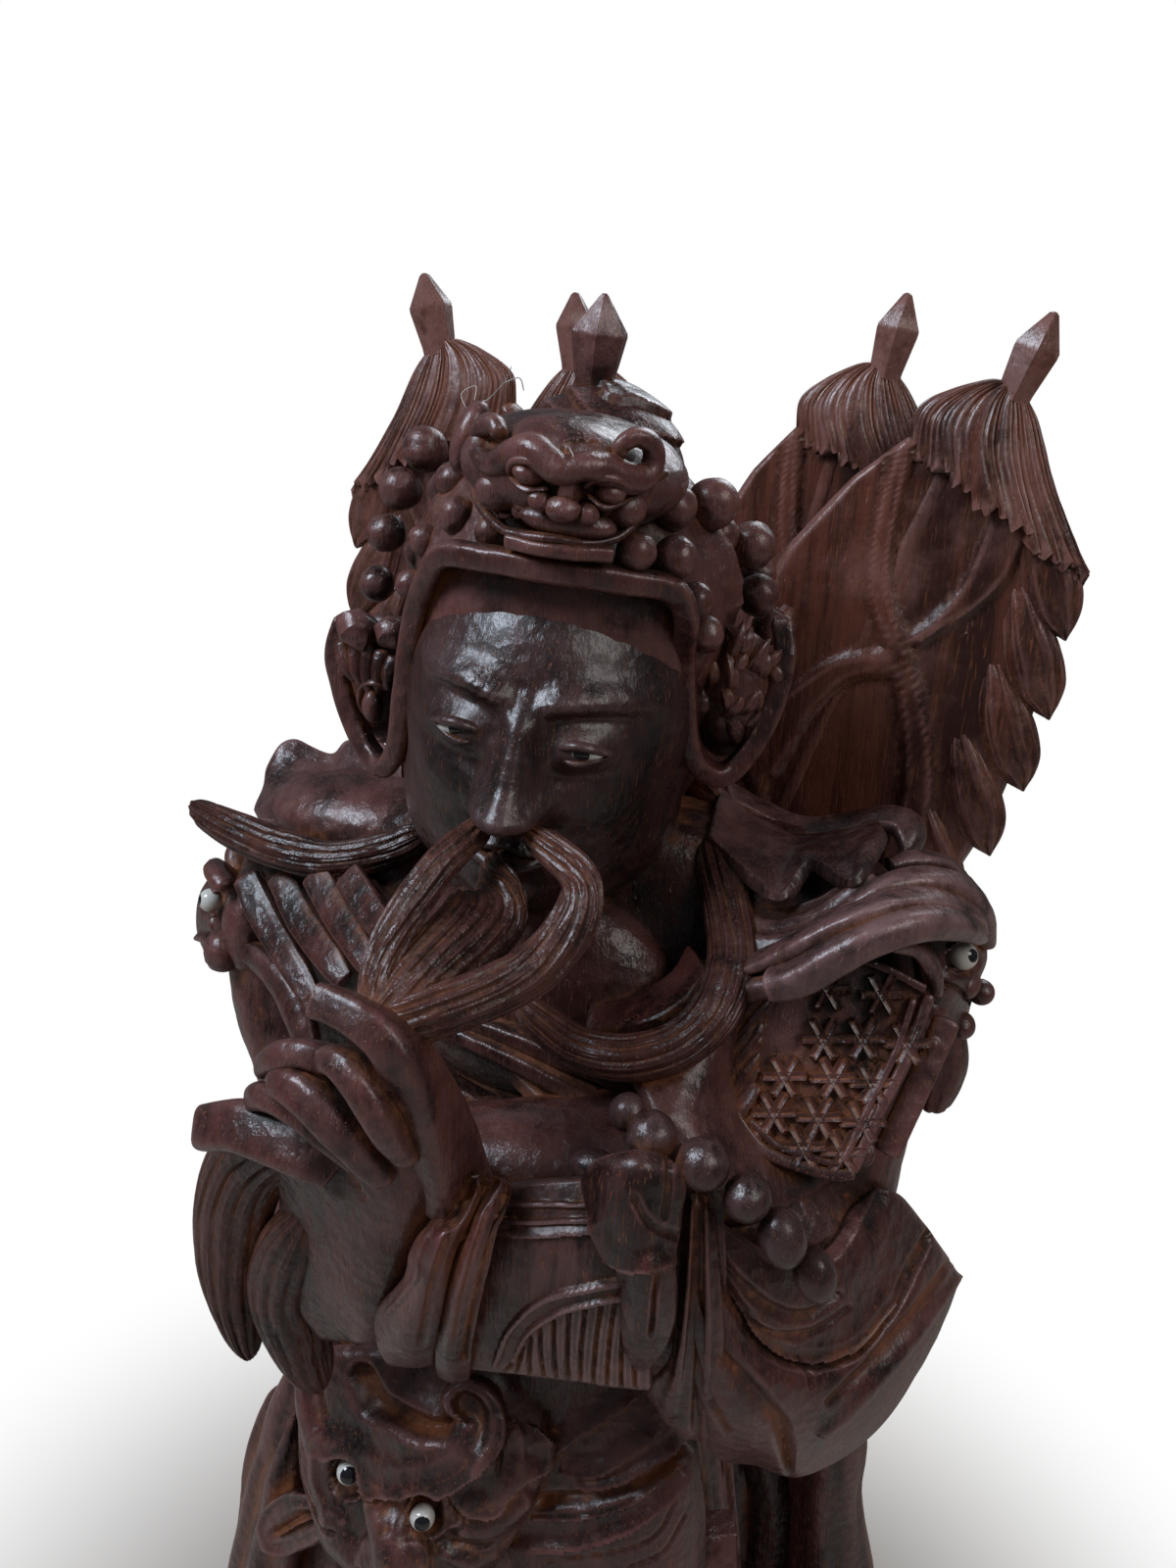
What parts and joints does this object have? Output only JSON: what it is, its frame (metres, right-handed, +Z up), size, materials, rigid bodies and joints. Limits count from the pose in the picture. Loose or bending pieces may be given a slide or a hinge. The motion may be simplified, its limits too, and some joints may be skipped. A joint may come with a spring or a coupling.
{
  "type": "guan yu statue",
  "caption": "Carved rosewood statue of a bearded general in armour holding his beard, with back flags and inlaid eyes, on a low plinth.",
  "frame": {"origin": "centre of the plinth's underside", "axes": "+Z up to the helmet's tip, -Y to the front of the figure, +X to the figure's own left"},
  "size_m": [0.2762, 0.237, 0.6012],
  "materials": {
    "figure_wood": "dark chocolate rosewood, hand polished, dusty in the hollows",
    "flag_wood": "reddish rosewood, satin, dusty in the hollows",
    "plinth_wood": "dark rosewood, satin",
    "eye_glass": "opaque white glass inlay with a black pupil, glossy"
  },
  "bodies": {
    "root": {"plinth": "plinth_wood", "figure": "figure_wood", "flag_right_outer": "flag_wood", "flag_right_inner": "flag_wood", "flag_left_inner": "flag_wood", "flag_left_outer": "flag_wood", "eye_face_right": "eye_glass", "eye_face_left": "eye_glass", "eye_belly_right": "eye_glass", "eye_belly_left": "eye_glass", "eye_right_shoulder_front": "eye_glass", "eye_right_shoulder_back": "eye_glass", "eye_left_shoulder_front": "eye_glass", "eye_left_shoulder_back": "eye_glass"}
  },
  "joints": []
}
